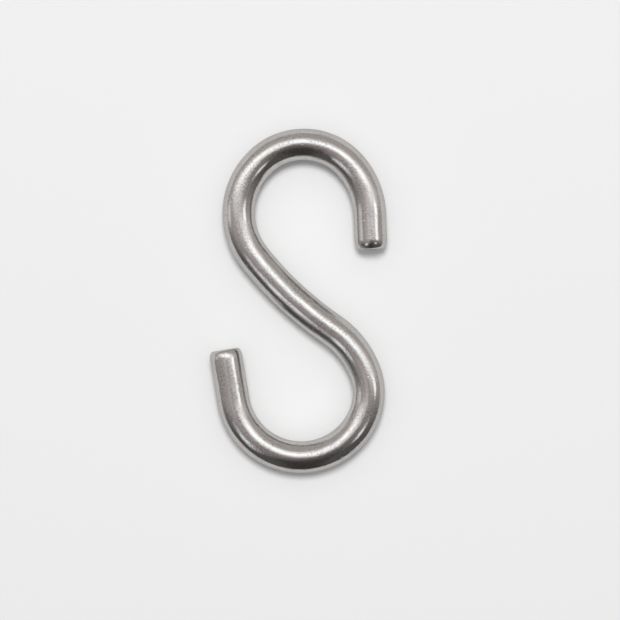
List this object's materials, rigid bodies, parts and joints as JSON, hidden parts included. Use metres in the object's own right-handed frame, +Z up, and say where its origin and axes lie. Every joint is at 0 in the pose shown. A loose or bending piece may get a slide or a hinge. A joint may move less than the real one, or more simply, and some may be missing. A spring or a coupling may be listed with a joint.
{
  "type": "s hook",
  "caption": "Round steel bar bent into an S, an open hook at each end, for hanging a chain link, ring or utensil from a rail or eye.",
  "frame": {"origin": "centre of the bounding box, on the surface the hook lies on", "axes": "+Y along the hook's length towards the upper hook, +X across it towards the upper hook's tip, +Z up, square to the plane the bar is bent in"},
  "size_m": [0.0324, 0.0628, 0.006],
  "materials": {
    "steel": "stainless steel, tumble-polished to a bright, slightly grainy shine"
  },
  "bodies": {
    "root": {"s_hook": "steel"}
  },
  "joints": []
}
